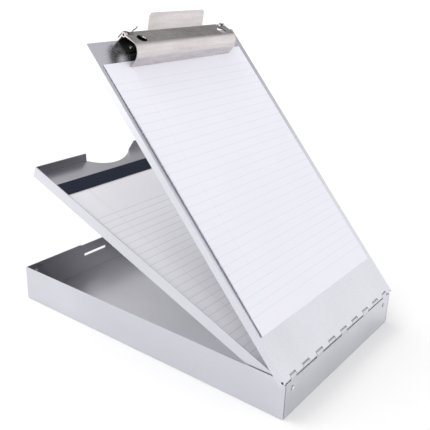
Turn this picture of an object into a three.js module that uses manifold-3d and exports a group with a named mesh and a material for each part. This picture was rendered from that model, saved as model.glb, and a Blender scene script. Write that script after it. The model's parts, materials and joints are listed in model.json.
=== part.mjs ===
// Aluminium form-holder clipboard: an open tray, a shallow middle tray and a lidded writing board that
// turn on one long hinge pin, with a wide spring clip on the board. Millimetres, +Z up.
// The origin is the centre of the tray's underside, X runs along the hinge and +Y points away from it.
// Each leaf is drawn flat in its own group, whose origin is the hinge pin: x along the pin,
// y away from the hinge, z up from the leaf. Turning the group about x opens the leaf.

import * as THREE from "three";
import { mergeVertices } from "three/addons/utils/BufferGeometryUtils.js";
import Module from "manifold-3d";

const wasm = await Module();
wasm.setup();

// ---------------------------------------------------------------- driving dimensions

const GAP = 0.3; // between pieces that touch on the real object
const SHEET = 0.8; // aluminium sheet of the tray, the middle tray and the board
const CUT = 2; // how far a cutting tool stands past what it cuts

const TRAY = { width: 221.2, length: 344.4, height: 39 };
const TAB = { length: 24, top: 34 }; // folded in from the side walls, behind the end walls
const CORNER_SEAM = 0.7; // open joint between a side wall and an end wall
const REAR_SLOT = { centreX: -5.2, length: 35.5, low: 22.5, high: 25.7 };
const RIM_RECESS = { centreX: -5.2, length: 46, depth: 1.1 };

const HINGE = { radius: 2.1, pin: 1.0, run: 0.4, pitch: 12.25, endPitch: 9.35 };
const PIN_Y = -TRAY.length / 2 + HINGE.radius;
const PIN_Z = 38.2;
const MIDDLE_ANGLE = THREE.MathUtils.degToRad(21.9);
const BOARD_ANGLE = THREE.MathUtils.degToRad(48.44);

const MIDDLE = { width: 218.4, end: 339.4, rim: -1.7, under: -13.8 };
const NOTCH = { radius: 48, depth: 14.4, flare: 5 };

const BOARD = { width: 225.2, end: 345.6, flange: 7.3 };
const BOARD_TOP = HINGE.radius;
const BOARD_UNDER = BOARD_TOP - SHEET;

const PAPER = { left: -107.95, right: 104.05, length: 279.4, start: 42.1, thick: 0.9 };
const PAD = { width: 215.4, length: 298, end: 309, card: 0.8, pages: 5.2, binding: 19, tape: 0.3 };

const CLIP = { sheet: 0.9, eye: 2.3, rod: 1, halfWidth: 77.8 };
const CLIP_PIVOT = { y: 342.45, z: 15.85 };
const BACK = { length: 14, slope: THREE.MathUtils.degToRad(24.5) }; // the jaw's straight part, from the rod
const CREST = { radius: 7, end: THREE.MathUtils.degToRad(110) }; // tight bend at the top of the jaw
const FRONT = { radius: 13, end: THREE.MathUtils.degToRad(175) }; // wider bend down its front
const JAW_HOLE = { x: 62.7, y: 333.6, radius: 5.4 };
const LEVER = {
  centreX: -2,
  halfWidth: 42.5,
  length: 16,
  lean: THREE.MathUtils.degToRad(50.7),
  corner: 2.5,
  bend: 0.5,
};
const BASE = { halfWidth: 74.2, front: 330.8, corner: 5 };
const COIL = { wire: 1, inner: 66.4, outer: 71.6, turns: 3, reach: 76.3, low: 7.4 };
const SIDE_GAP = 0.4; // between the eyes and coils that share the rod

const LATCH = {
  sheet: 0.8,
  front: 322,
  rear: 343,
  corner: 4,
  tongueY: 338.6,
  bump: 1.5, // how far the rounded bump stands out of the tongue
  low: -15.4,
  high: -12.8,
};

const RIVET = { head: 2.3, shank: 1.2, dome: 0.9, upset: 0.4, tail: 1.84 };

// ---------------------------------------------------------------- solids

function solid(geometry) {
  geometry.deleteAttribute("normal");
  geometry.deleteAttribute("uv");
  const merged = mergeVertices(geometry, 1e-5);
  return new wasm.Manifold(
    new wasm.Mesh({
      numProp: 3,
      vertProperties: new Float32Array(merged.attributes.position.array),
      triVerts: new Uint32Array(merged.index.array),
    }),
  );
}

function joined(...solids) {
  return solids.reduce((all, one) => all.add(one));
}

function without(body, ...tools) {
  return tools.reduce((left, tool) => left.subtract(tool), body);
}

// A box given by its lowest and highest corners.
function block(x0, x1, y0, y1, z0, z1) {
  const box = new THREE.BoxGeometry(x1 - x0, y1 - y0, z1 - z0);
  return solid(box.translate((x0 + x1) / 2, (y0 + y1) / 2, (z0 + z1) / 2));
}

// An outline in y and z, drawn out along x.
function alongX(shape, x0, x1, curveSegments = 12) {
  const geometry = new THREE.ExtrudeGeometry(shape, { depth: x1 - x0, bevelEnabled: false, curveSegments });
  const place = new THREE.Matrix4().set(0, 0, 1, x0, 1, 0, 0, 0, 0, 1, 0, 0, 0, 0, 0, 1);
  return solid(geometry.applyMatrix4(place));
}

// An outline in x and y, drawn out along z.
function alongZ(shape, z0, z1, curveSegments = 12) {
  const geometry = new THREE.ExtrudeGeometry(shape, { depth: z1 - z0, bevelEnabled: false, curveSegments });
  return solid(geometry.translate(0, 0, z0));
}

function rodAlongX(radius, x0, x1, y, z, sides = 20) {
  const rod = new THREE.CylinderGeometry(radius, radius, x1 - x0, sides);
  return solid(rod.rotateZ(Math.PI / 2).translate((x0 + x1) / 2, y, z));
}

function rodAlongZ(radius, x, y, z0, z1, sides = 12) {
  const rod = new THREE.CylinderGeometry(radius, radius, z1 - z0, sides);
  return solid(rod.rotateX(Math.PI / 2).translate(x, y, (z0 + z1) / 2));
}

function roundedRectangle(x0, x1, y0, y1, radii) {
  const [a, b, c, d] = radii; // at x0 y0, x1 y0, x1 y1 and x0 y1
  const shape = new THREE.Shape();
  shape.moveTo(x0 + a, y0);
  shape.lineTo(x1 - b, y0);
  if (b) shape.absarc(x1 - b, y0 + b, b, -Math.PI / 2, 0, false);
  shape.lineTo(x1, y1 - c);
  if (c) shape.absarc(x1 - c, y1 - c, c, 0, Math.PI / 2, false);
  shape.lineTo(x0 + d, y1);
  if (d) shape.absarc(x0 + d, y1 - d, d, Math.PI / 2, Math.PI, false);
  shape.lineTo(x0, y0 + a);
  if (a) shape.absarc(x0 + a, y0 + a, a, Math.PI, 1.5 * Math.PI, false);
  return shape;
}

// ---------------------------------------------------------------- meshes

const FINISH = {
  aluminium: { color: 0xc9cbd2, roughness: 0.42, metalness: 0.9 },
  steel: { color: 0xb7b1aa, roughness: 0.3, metalness: 1 },
  spring: { color: 0x8d8a86, roughness: 0.35, metalness: 1 },
  paper: { color: 0xeceaf2, roughness: 0.9, metalness: 0 },
  card: { color: 0x9a8f7d, roughness: 0.9, metalness: 0 },
  navy: { color: 0x1c2436, roughness: 0.6, metalness: 0 },
};

function mesh(name, body, finish) {
  const { vertProperties, triVerts } = body.getMesh();
  const geometry = new THREE.BufferGeometry();
  geometry.setAttribute("position", new THREE.BufferAttribute(Float32Array.from(vertProperties), 3));
  geometry.setIndex(new THREE.BufferAttribute(Uint32Array.from(triVerts), 1));
  geometry.computeVertexNormals();
  const made = new THREE.Mesh(geometry, new THREE.MeshStandardMaterial(FINISH[finish]));
  made.name = name;
  return made;
}

// A domed rivet along its own z: the head stands on z = 0, the shank ends in a flat upset head,
// which starts at z = -grip.
function rivet(name, grip, finish) {
  const { head, shank, dome, upset, tail } = RIVET;
  const profile = [new THREE.Vector2(0, -grip - upset), new THREE.Vector2(tail, -grip - upset)];
  profile.push(new THREE.Vector2(tail, -grip), new THREE.Vector2(shank, -grip));
  profile.push(new THREE.Vector2(shank, 0), new THREE.Vector2(head, 0));
  const steps = 3;
  for (let i = 1; i <= steps; i++) {
    const turn = (i / steps) * (Math.PI / 2);
    profile.push(new THREE.Vector2(i === steps ? 0 : head * Math.cos(turn), dome * Math.sin(turn)));
  }
  const lathe = new THREE.LatheGeometry(profile, 12).rotateX(Math.PI / 2);
  return mesh(name, solid(lathe), finish);
}

// ---------------------------------------------------------------- hinge

// The leaves take turns along the pin: T is the tray, M the middle tray and B the board.
// Both halves of the hinge mirror each other about a tray knuckle in the middle.
function knuckles() {
  const order = ["T", "B", "M", "B", "T", "B", "M", "B", "T", "B"];
  const spans = [];
  let start = HINGE.pitch / 2;
  spans.push({ leaf: "T", x0: -start, x1: start });
  for (const leaf of order.slice(1)) {
    const last = spans.length === 2 * order.length - 3;
    const outerTray = spans.length === 2 * order.length - 5;
    const end = last ? BOARD.width / 2 : start + (outerTray ? HINGE.endPitch : HINGE.pitch);
    spans.push({ leaf, x0: start, x1: end }, { leaf, x0: -end, x1: -start });
    start = end;
  }
  return spans;
}

// One rolled knuckle round the pin, in a leaf's own frame, trimmed so that neighbours don't rub.
function knuckleTube({ x0, x1 }) {
  const trim = HINGE.run / 2;
  const tube = rodAlongX(HINGE.radius, x0 + trim, x1 - trim, 0, 0);
  const bore = rodAlongX(HINGE.pin + GAP, x0 - CUT, x1 + CUT, 0, 0, 16);
  return [tube, bore];
}

// Adds a leaf's knuckles and cuts room for the other leaves' knuckles.
// web gives the y and z span that joins each knuckle to its sheet, room the span cut for the others.
function withKnuckles(body, leaf, web, room) {
  const trim = HINGE.run / 2;
  const bores = [];
  for (const span of knuckles()) {
    const { x0, x1 } = span;
    if (span.leaf === leaf) {
      const [tube, bore] = knuckleTube(span);
      const joint = block(x0 + trim, x1 - trim, web.y0, web.y1, web.z0, web.z1);
      body = joined(body, tube, joint);
      bores.push(bore);
    } else {
      body = without(body, block(x0 - trim, x1 + trim, room.y0, room.y1, room.z0, room.z1));
    }
  }
  return without(body, ...bores);
}

function hingePin() {
  const end = BOARD.width / 2 - 1;
  return mesh("hinge_pin", rodAlongX(HINGE.pin, -end, end, PIN_Y, PIN_Z, 12), "spring");
}

// ---------------------------------------------------------------- tray

const RIVET_SPOTS = [
  { name: "tray_rivet_front_left", x: -97, z: 26, rear: false },
  { name: "tray_rivet_front_right", x: 97, z: 26, rear: false },
  { name: "tray_rivet_rear_left", x: -98, z: 31, rear: true },
  { name: "tray_rivet_rear_right", x: 98, z: 31, rear: true },
];

function trayTab(sideX, endY) {
  const inY = -Math.sign(endY);
  const face = endY + inY * (SHEET + GAP);
  const root = sideX - Math.sign(sideX) * (SHEET / 2);
  const tip = sideX - Math.sign(sideX) * TAB.length;
  const ys = [face, face + inY * SHEET].sort((a, b) => a - b);
  const xs = [root, tip].sort((a, b) => a - b);
  return block(...xs, ...ys, 0, TAB.top);
}

function trayPan() {
  const halfX = TRAY.width / 2;
  const halfY = TRAY.length / 2;
  const inX = halfX - SHEET;
  let body = block(-halfX, halfX, -halfY, halfY, 0, SHEET);
  for (const side of [-1, 1]) {
    const [x0, x1] = [side * inX, side * halfX].sort((a, b) => a - b);
    body = joined(body, block(x0, x1, -halfY, halfY, 0, TRAY.height));
  }
  const wallX = inX - CORNER_SEAM;
  const frontTop = PIN_Z - HINGE.radius - HINGE.run;
  body = joined(
    body,
    block(-wallX, wallX, -halfY, -halfY + SHEET, 0, frontTop),
    block(-wallX, wallX, halfY - SHEET, halfY, 0, TRAY.height),
  );
  for (const sideX of [-halfX, halfX]) {
    body = joined(body, trayTab(sideX, -halfY), trayTab(sideX, halfY));
    // The side walls are cut back at the hinge, where the board's outer knuckles turn.
    const clear = HINGE.radius + 2 * HINGE.run;
    const [x0, x1] = [sideX - CUT, sideX + CUT];
    body = without(body, block(x0, x1, -halfY - CUT, PIN_Y + clear, PIN_Z - clear, TRAY.height + CUT));
  }
  return trayOpenings(trayKnuckles(body, frontTop));
}

function trayKnuckles(body, frontTop) {
  const halfY = TRAY.length / 2;
  const trim = HINGE.run / 2;
  for (const span of knuckles().filter((one) => one.leaf === "T")) {
    const [tube, bore] = knuckleTube(span);
    const lift = [0, PIN_Y, PIN_Z];
    const web = block(span.x0 + trim, span.x1 - trim, -halfY, -halfY + SHEET, frontTop - 1, PIN_Z);
    body = without(joined(body, web, tube.translate(lift)), bore.translate(lift));
  }
  return body;
}

function trayOpenings(body) {
  const halfY = TRAY.length / 2;
  const slot = REAR_SLOT;
  const recess = RIM_RECESS;
  const wall = [halfY - SHEET - CUT, halfY + CUT];
  const [s0, s1] = [slot.centreX - slot.length / 2, slot.centreX + slot.length / 2];
  const [r0, r1] = [recess.centreX - recess.length / 2, recess.centreX + recess.length / 2];
  const [low, high] = [TRAY.height - recess.depth, TRAY.height + CUT];
  const holes = RIVET_SPOTS.map(({ x, z, rear }) => {
    const hole = rodAlongZ(RIVET.shank + GAP, x, 0, -2 * CUT, 2 * CUT);
    return hole.rotate([90, 0, 0]).translate([0, (rear ? 1 : -1) * halfY, z]);
  });
  const openings = [block(s0, s1, ...wall, slot.low, slot.high), block(r0, r1, ...wall, low, high)];
  return without(body, ...openings, ...holes);
}

function trayRivets() {
  return RIVET_SPOTS.map(({ name, x, z, rear }) => {
    const made = rivet(name, 2 * SHEET + 3 * GAP, "aluminium");
    made.position.set(x, (rear ? 1 : -1) * (TRAY.length / 2 + GAP), z);
    made.rotation.x = ((rear ? -1 : 1) * Math.PI) / 2;
    return made;
  });
}

// ---------------------------------------------------------------- middle tray and its pad

function middleTray() {
  const halfX = MIDDLE.width / 2;
  const inner = HINGE.radius - SHEET;
  const { end, rim, under } = MIDDLE;
  let body = block(-halfX, halfX, inner, end, under, under + SHEET);
  for (const side of [-1, 1]) {
    const [x0, x1] = [side * (halfX - SHEET), side * halfX].sort((a, b) => a - b);
    body = joined(body, block(x0, x1, inner, end, under, rim));
  }
  const wallX = halfX - SHEET - GAP;
  body = joined(body, block(-wallX, wallX, end - SHEET, end, under, rim));
  body = joined(body, block(-halfX, halfX, inner, HINGE.radius, under, rim - GAP));
  // A finger notch through the far end: an arc in the floor, running out through the end wall.
  const notchY = end - NOTCH.depth + NOTCH.radius;
  const half = Math.sqrt(NOTCH.radius ** 2 - (NOTCH.radius - NOTCH.depth) ** 2);
  const flare = new THREE.Shape();
  flare.moveTo(-half, under + SHEET);
  flare.lineTo(half, under + SHEET);
  flare.lineTo(half + NOTCH.flare, rim + CUT);
  flare.lineTo(-half - NOTCH.flare, rim + CUT);
  const flared = alongZ(flare, -CUT, CUT).rotate([90, 0, 0]).translate([0, end, 0]);
  body = without(body, rodAlongZ(NOTCH.radius, 0, notchY, under - CUT, rim + CUT, 72), flared);
  const web = { y0: inner, y1: HINGE.radius, z0: rim - 1, z1: 0 };
  const room = { y0: inner - CUT, y1: HINGE.radius + CUT / 4, z0: -HINGE.radius - HINGE.run, z1: CUT };
  return mesh("middle_tray", withKnuckles(body, "M", web, room), "aluminium");
}

function pad() {
  const half = PAD.width / 2;
  const start = PAD.end - PAD.length;
  const floor = MIDDLE.under + SHEET + GAP;
  const skin = PAD.tape + GAP;
  const backing = block(-half, half, start, PAD.end - skin - GAP, floor + skin, floor + skin + PAD.card);
  const low = floor + skin + PAD.card + GAP;
  const pages = block(-half, half, start, PAD.end - skin - GAP, low, low + PAD.pages);
  const high = low + PAD.pages + GAP + PAD.tape;
  const tapeY = PAD.end - PAD.binding;
  const { tape } = PAD;
  const outer = block(-half, half, tapeY, PAD.end, floor, high);
  const inside = block(-half - CUT, half + CUT, tapeY - CUT, PAD.end - tape, floor + tape, high - tape);
  return [
    mesh("pad_backing", backing, "card"),
    mesh("pad_pages", pages, "paper"),
    mesh("pad_binding", without(outer, inside), "navy"),
  ];
}

// ---------------------------------------------------------------- board, papers and latch

const CLIP_RIVETS = [
  { name: "clip_rivet_outer_left", x: -62.7 },
  { name: "clip_rivet_inner_left", x: -33 },
  { name: "clip_rivet_inner_right", x: 33 },
  { name: "clip_rivet_outer_right", x: 62.7 },
];
const CLIP_RIVET_Y = 336;
const LATCH_RIVETS = [
  { name: "latch_rivet_left", x: -18 },
  { name: "latch_rivet_right", x: 8 },
];
const LATCH_RIVET_Y = 326.5;

function boardPlate() {
  const halfX = BOARD.width / 2;
  const low = BOARD_TOP - BOARD.flange;
  let body = block(-halfX, halfX, HINGE.radius, BOARD.end, BOARD_UNDER, BOARD_TOP);
  const web = { y0: 0, y1: HINGE.radius + 1, z0: BOARD_UNDER, z1: BOARD_TOP };
  const room = { y0: -CUT, y1: HINGE.radius + HINGE.run, z0: -CUT, z1: BOARD_TOP + CUT };
  body = withKnuckles(body, "B", web, room);
  for (const side of [-1, 1]) {
    const [x0, x1] = [side * (halfX - SHEET), side * halfX].sort((a, b) => a - b);
    body = joined(body, block(x0, x1, -HINGE.radius, BOARD.end, low, BOARD_TOP));
  }
  const lip = halfX - SHEET - GAP;
  body = joined(body, block(-lip, lip, BOARD.end - SHEET, BOARD.end, low, BOARD_TOP));
  const end = halfX + CUT;
  const bore = rodAlongX(HINGE.pin + GAP, -end, end, 0, 0, 12);
  const drill = (x, y) => rodAlongZ(RIVET.shank + GAP, x, y, 0, BOARD_TOP + CUT);
  const clipHoles = CLIP_RIVETS.map(({ x }) => drill(x, CLIP_RIVET_Y));
  const latchHoles = LATCH_RIVETS.map(({ x }) => drill(x, LATCH_RIVET_Y));
  return mesh("board_plate", without(body, bore, ...clipHoles, ...latchHoles), "aluminium");
}

function topSheets() {
  const low = BOARD_TOP + GAP;
  const end = PAPER.start + PAPER.length;
  const stack = block(PAPER.left, PAPER.right, PAPER.start, end, low, low + PAPER.thick);
  return mesh("top_sheets", stack, "paper");
}

// Spring-steel catch under the board: a strip riveted to the sheet, and a tongue that reaches down
// through the middle tray's notch, with a rounded bump opposite the slot in the tray's rear wall.
function latchSpring() {
  const { sheet, front, rear, corner, tongueY, bump, low, high } = LATCH;
  const top = BOARD_UNDER - GAP;
  // The strip fits the recess in the tray's rim and the tongue fits the slot, 1 mm narrower each side.
  const within = ({ centreX, length }) => [centreX - length / 2 + 1, centreX + length / 2 - 1];
  const outline = roundedRectangle(...within(RIM_RECESS), front, rear, [corner, corner, 0, 0]);
  const strip = alongZ(outline, top - sheet, top);
  const middle = (low + high) / 2;
  const tongue = new THREE.Shape();
  tongue.moveTo(tongueY, top - sheet / 2);
  tongue.lineTo(tongueY, low - 1);
  tongue.lineTo(tongueY + sheet, low - 1);
  tongue.lineTo(tongueY + sheet, low);
  tongue.quadraticCurveTo(tongueY + sheet + 2 * bump, middle, tongueY + sheet, high);
  tongue.lineTo(tongueY + sheet, top - sheet / 2);
  const body = joined(strip, alongX(tongue, ...within(REAR_SLOT), 6));
  const shank = RIVET.shank + GAP;
  const holes = LATCH_RIVETS.map(({ x }) => rodAlongZ(shank, x, LATCH_RIVET_Y, top - CUT, top + CUT));
  return mesh("latch_spring", without(body, ...holes), "spring");
}

function boardRivets() {
  const baseTop = BOARD_TOP + GAP + CLIP.sheet;
  const clip = CLIP_RIVETS.map(({ name, x }) => {
    const made = rivet(name, CLIP.sheet + SHEET + 3 * GAP, "steel");
    made.position.set(x, CLIP_RIVET_Y, baseTop + GAP);
    return made;
  });
  const latch = LATCH_RIVETS.map(({ name, x }) => {
    const made = rivet(name, LATCH.sheet + SHEET + 3 * GAP, "aluminium");
    made.position.set(x, LATCH_RIVET_Y, BOARD_TOP + GAP);
    return made;
  });
  return [...clip, ...latch];
}

// ---------------------------------------------------------------- clip

// The rod carries, from each end: a jaw eye, a base eye, the coil and a long jaw eye up to the lever.
// The long eyes reach into the coils' room, which is cut afterwards and so ends them.
const JAW_EYES = [
  [BASE.halfWidth + SIDE_GAP, CLIP.halfWidth],
  [LEVER.halfWidth - 3, COIL.inner],
];
const BASE_EYE = [COIL.outer + SIDE_GAP, BASE.halfWidth];
const COIL_ROOM = [COIL.inner - SIDE_GAP, COIL.outer + SIDE_GAP];
const PROUD = 0.2; // how far an eye's end stands out of the sheet's cut edge

// The span's ends on one side of the clip, lowest first.
function mirrored(span, side) {
  return span.map((x) => side * x).sort((a, b) => a - b);
}

function eye(span, side) {
  return rodAlongX(CLIP.eye, ...mirrored(span, side), CLIP_PIVOT.y, CLIP_PIVOT.z);
}

function rodBore() {
  const reach = CLIP.halfWidth + CUT;
  return rodAlongX(CLIP.rod + GAP, -reach, reach, CLIP_PIVOT.y, CLIP_PIVOT.z, 12);
}

function clipBase() {
  const floor = BOARD_TOP + GAP;
  const { halfWidth, front, corner } = BASE;
  const rear = CLIP_PIVOT.y + CLIP.eye;
  const face = rear - CLIP.sheet;
  const plate = roundedRectangle(-halfWidth, halfWidth, front, rear, [corner, corner, 0, 0]);
  // The rear wall stays below the long jaw eyes and the coils, and rises to the eyes at both ends.
  const wallTop = CLIP_PIVOT.z - coilReach() - GAP;
  let body = joined(
    alongZ(plate, floor, floor + CLIP.sheet),
    block(-halfWidth, halfWidth, face, rear, floor, wallTop),
  );
  for (const side of [-1, 1]) {
    const web = block(...mirrored(BASE_EYE, side), face, rear, floor, CLIP_PIVOT.z);
    body = joined(body, eye(BASE_EYE, side), web);
  }
  const holes = CLIP_RIVETS.map(({ x }) => rodAlongZ(RIVET.shank + GAP, x, CLIP_RIVET_Y, 0, floor + CUT));
  return mesh("clip_base", without(body, rodBore(), ...holes), "steel");
}

function clipRod() {
  const end = CLIP.halfWidth - CLIP.sheet;
  const { y, z } = CLIP_PIVOT;
  return mesh("clip_rod", rodAlongX(CLIP.rod, -end, end, y, z, 12), "spring");
}

// The coils lie loosely round the rod.
function coilRadius() {
  return CLIP.rod + 2 * GAP + COIL.wire / 2;
}

function coilReach() {
  return coilRadius() + COIL.wire / 2;
}

// The wire of one torsion spring: a leg that hangs behind the base's end, the coil, and on the left an
// end that passes over the jaw's long eye and turns up. The right coil ends in its cut-out.
class SpringWire extends THREE.Curve {
  constructor(side) {
    super();
    const { outer, inner, turns, reach, low, wire } = COIL;
    const { y, z } = CLIP_PIVOT;
    const behind = y + CLIP.eye + GAP + wire / 2;
    const points = [
      new THREE.Vector3(reach, behind, low),
      new THREE.Vector3(reach, behind, z - 1.5),
      new THREE.Vector3(reach - 1.2, behind, z),
      new THREE.Vector3(outer + 1, behind, z),
    ];
    const radius = coilRadius();
    const first = outer - wire / 2;
    const perTurn = 10;
    const steps = perTurn * turns + 2;
    for (let i = 1; i <= steps; i++) {
      const turn = (i / perTurn) * 2 * Math.PI;
      const x = first - ((first - inner - wire / 2) * i) / steps;
      points.push(new THREE.Vector3(x, y + radius * Math.cos(turn), z + radius * Math.sin(turn)));
    }
    if (side < 0) {
      points.push(
        new THREE.Vector3(inner - 0.9, y + 2.1, z + 3.1),
        new THREE.Vector3(inner - 2.4, y + 2.5, z + 3.7),
        new THREE.Vector3(inner - 3.6, y + 2.7, z + 4.5),
        new THREE.Vector3(inner - 4.3, y + 3, z + 6.2),
      );
    }
    for (const point of points) point.x *= side;
    this.path = new THREE.CatmullRomCurve3(points, false, "centripetal");
    this.count = points.length - 1;
  }

  getPoint(t) {
    return this.path.getPoint(t);
  }
}

function clipSpring(name, side) {
  const wire = new SpringWire(side);
  const section = new THREE.Shape();
  section.absarc(0, 0, COIL.wire / 2, 0, 2 * Math.PI, false);
  const settings = { steps: wire.count, curveSegments: 3, bevelEnabled: false, extrudePath: wire };
  return mesh(name, solid(new THREE.ExtrudeGeometry(section, settings)), "spring");
}

// Centres of the jaw's two bends. Angles of the bends are measured from +y towards +z.
function jawCentres() {
  const { length, slope } = BACK;
  const start = Math.PI / 2 - slope;
  const crest = {
    y: CLIP_PIVOT.y - length * Math.cos(slope) - CREST.radius * Math.cos(start),
    z: CLIP_PIVOT.z + length * Math.sin(slope) - CREST.radius * Math.sin(start),
  };
  const shift = CREST.radius - FRONT.radius;
  const front = { y: crest.y + shift * Math.cos(CREST.end), z: crest.z + shift * Math.sin(CREST.end) };
  return { start, crest, front };
}

// The jaw in section: a straight back that rises from the rod's centre line, a tight and a wide bend,
// and a straight run down to the lip, which stops just above the papers.
function jawSection() {
  const { y, z } = CLIP_PIVOT;
  const half = CLIP.sheet / 2;
  const lip = BOARD_TOP + 2 * GAP + PAPER.thick;
  const { start, crest, front } = jawCentres();
  const across = [Math.cos(start) * half, Math.sin(start) * half];
  // Straight down from the end of the wide bend to the lip's height.
  const foot = (radius) => {
    const drop = front.z + radius * Math.sin(FRONT.end) - lip;
    return [front.y + radius * Math.cos(FRONT.end) + drop * Math.tan(FRONT.end), lip];
  };
  const shape = new THREE.Shape();
  shape.moveTo(y + across[0], z + across[1]);
  shape.absarc(crest.y, crest.z, CREST.radius + half, start, CREST.end, false);
  shape.absarc(front.y, front.z, FRONT.radius + half, CREST.end, FRONT.end, false);
  shape.lineTo(...foot(FRONT.radius + half));
  shape.lineTo(...foot(FRONT.radius - half));
  shape.absarc(front.y, front.z, FRONT.radius - half, FRONT.end, CREST.end, true);
  shape.absarc(crest.y, crest.z, CREST.radius - half, CREST.end, start, true);
  shape.lineTo(y - across[0], z - across[1]);
  return shape;
}

// The lever in section: it leaves the jaw's back level, passes over the rod and turns up.
function leverSection() {
  const { sheet, rod } = CLIP;
  const { length, lean, bend } = LEVER;
  const low = CLIP_PIVOT.z + rod + 2 * GAP;
  const start = CLIP_PIVOT.y - (low + sheet / 2 - CLIP_PIVOT.z) / Math.tan(BACK.slope);
  const root = CLIP_PIVOT.y + 2 * rod;
  const [dy, dz] = [length * Math.cos(lean), length * Math.sin(lean)];
  const across = [sheet * Math.sin(lean), sheet * Math.cos(lean)];
  const shape = new THREE.Shape();
  shape.moveTo(start - bend, low);
  shape.lineTo(root + bend, low);
  shape.lineTo(root + bend + dy, low + dz);
  shape.lineTo(root + bend + dy - across[0], low + dz + across[1]);
  shape.lineTo(root, low + sheet);
  shape.lineTo(start + bend, low + sheet);
  return shape;
}

function clipJaw() {
  const { halfWidth } = CLIP;
  const { y, z } = CLIP_PIVOT;
  const curve = 12;
  // The sheet stops short of the rod, apart from the eyes.
  const clear = CLIP.eye + GAP;
  const middle = LEVER.halfWidth - 3 + PROUD;
  const end = [COIL.inner, BASE.halfWidth + SIDE_GAP + PROUD];
  let body = alongX(jawSection(), -halfWidth, halfWidth, curve);
  body = without(body, rodAlongX(clear, -middle, middle, y, z));
  for (const side of [-1, 1]) {
    body = without(body, rodAlongX(clear, ...mirrored(end, side), y, z), hangingHole(side));
    body = joined(body, ...JAW_EYES.map((span) => eye(span, side)));
    body = without(body, rodAlongX(coilReach() + GAP, ...mirrored(COIL_ROOM, side), y, z));
  }
  return mesh("clip_jaw", without(joined(body, leverPlate()), rodBore()), "steel");
}

function hangingHole(side) {
  const { x, y, radius } = JAW_HOLE;
  const tilt = -THREE.MathUtils.radToDeg(BACK.slope);
  const onBack = CLIP_PIVOT.z + (CLIP_PIVOT.y - y) * Math.tan(BACK.slope);
  const drill = rodAlongZ(radius, 0, 0, -2 * CUT, 2 * CUT, 24);
  return drill.rotate([tilt, 0, 0]).translate([side * x, y, onBack]);
}

// The thumb lever carries on from the jaw's back, over the rod and up, with rounded corners.
function leverPlate() {
  const { centreX, halfWidth, length, lean, corner } = LEVER;
  const [x0, x1] = [centreX - halfWidth, centreX + halfWidth];
  const sheet = alongX(leverSection(), x0, x1);
  const tip = CLIP_PIVOT.z + CLIP.rod + 2 * GAP + length * Math.sin(lean) + CLIP.sheet * Math.cos(lean);
  const outline = roundedRectangle(x0, x1, 0, tip, [0, 0, corner, corner]);
  const deep = 2 * length;
  const trim = alongZ(outline, -deep, deep).rotate([90, 0, 0]).translate([0, CLIP_PIVOT.y, 0]);
  return sheet.intersect(trim);
}

// ---------------------------------------------------------------- assembly

function leaf(angle, ...children) {
  const group = new THREE.Group();
  group.position.set(0, PIN_Y, PIN_Z);
  group.rotation.x = angle;
  group.add(...children);
  return group;
}

const group = new THREE.Group();
group.add(mesh("tray_pan", trayPan(), "aluminium"), ...trayRivets(), hingePin());
group.add(leaf(MIDDLE_ANGLE, middleTray(), ...pad()));
group.add(
  leaf(
    BOARD_ANGLE,
    boardPlate(),
    topSheets(),
    latchSpring(),
    ...boardRivets(),
    clipBase(),
    clipRod(),
    clipSpring("clip_spring_left", -1),
    clipSpring("clip_spring_right", 1),
    clipJaw(),
  ),
);

export default group;
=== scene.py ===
"""Looks of the clipboard with storage trays: aluminium leaves on a hinge, ruled papers and a steel clip."""

import json
import math
import random

import bmesh
import bpy
from mathutils import Matrix, Vector


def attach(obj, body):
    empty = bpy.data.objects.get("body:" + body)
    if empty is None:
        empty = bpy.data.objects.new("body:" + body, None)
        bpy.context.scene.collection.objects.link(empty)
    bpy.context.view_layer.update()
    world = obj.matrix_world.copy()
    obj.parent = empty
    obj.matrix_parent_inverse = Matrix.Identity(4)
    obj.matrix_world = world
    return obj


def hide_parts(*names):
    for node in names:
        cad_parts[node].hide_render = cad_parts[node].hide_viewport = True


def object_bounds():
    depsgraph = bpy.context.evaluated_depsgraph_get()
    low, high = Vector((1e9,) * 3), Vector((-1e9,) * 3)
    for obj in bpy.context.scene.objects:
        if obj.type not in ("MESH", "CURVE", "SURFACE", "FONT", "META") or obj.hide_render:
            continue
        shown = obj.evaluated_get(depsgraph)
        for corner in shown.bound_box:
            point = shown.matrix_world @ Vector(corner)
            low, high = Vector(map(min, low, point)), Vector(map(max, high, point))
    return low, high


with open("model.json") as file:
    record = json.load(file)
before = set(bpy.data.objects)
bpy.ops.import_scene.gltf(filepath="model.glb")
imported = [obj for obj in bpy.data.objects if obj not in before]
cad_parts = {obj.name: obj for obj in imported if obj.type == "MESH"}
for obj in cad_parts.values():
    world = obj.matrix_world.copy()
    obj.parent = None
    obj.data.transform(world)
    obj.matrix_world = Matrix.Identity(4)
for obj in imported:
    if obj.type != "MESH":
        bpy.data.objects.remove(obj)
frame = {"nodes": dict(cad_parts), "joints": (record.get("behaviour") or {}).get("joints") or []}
cad_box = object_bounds()

MM = 0.001
SEED = 7
chance = random.Random(SEED)

# ---------------------------------------------------------------- the leaves' own frames

JOINTS = {j["name"]: j for j in frame["joints"]}
PIN = Vector(JOINTS["middle_tray_hinge"]["pos_m"])
MIDDLE_ANGLE = -math.radians(JOINTS["middle_tray_hinge"]["range_deg"][0])
BOARD_ANGLE = MIDDLE_ANGLE - math.radians(JOINTS["board_hinge"]["range_deg"][0])


def leaf_frame(angle):
    """Leaf coordinates (x along the pin, y away from it, z up from the leaf) to the row frame."""
    return Matrix.Translation(PIN) @ Matrix.Rotation(angle, 4, "X")


TRAY = Matrix.Identity(4)
MIDDLE = leaf_frame(MIDDLE_ANGLE)
BOARD = leaf_frame(BOARD_ANGLE)


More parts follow.
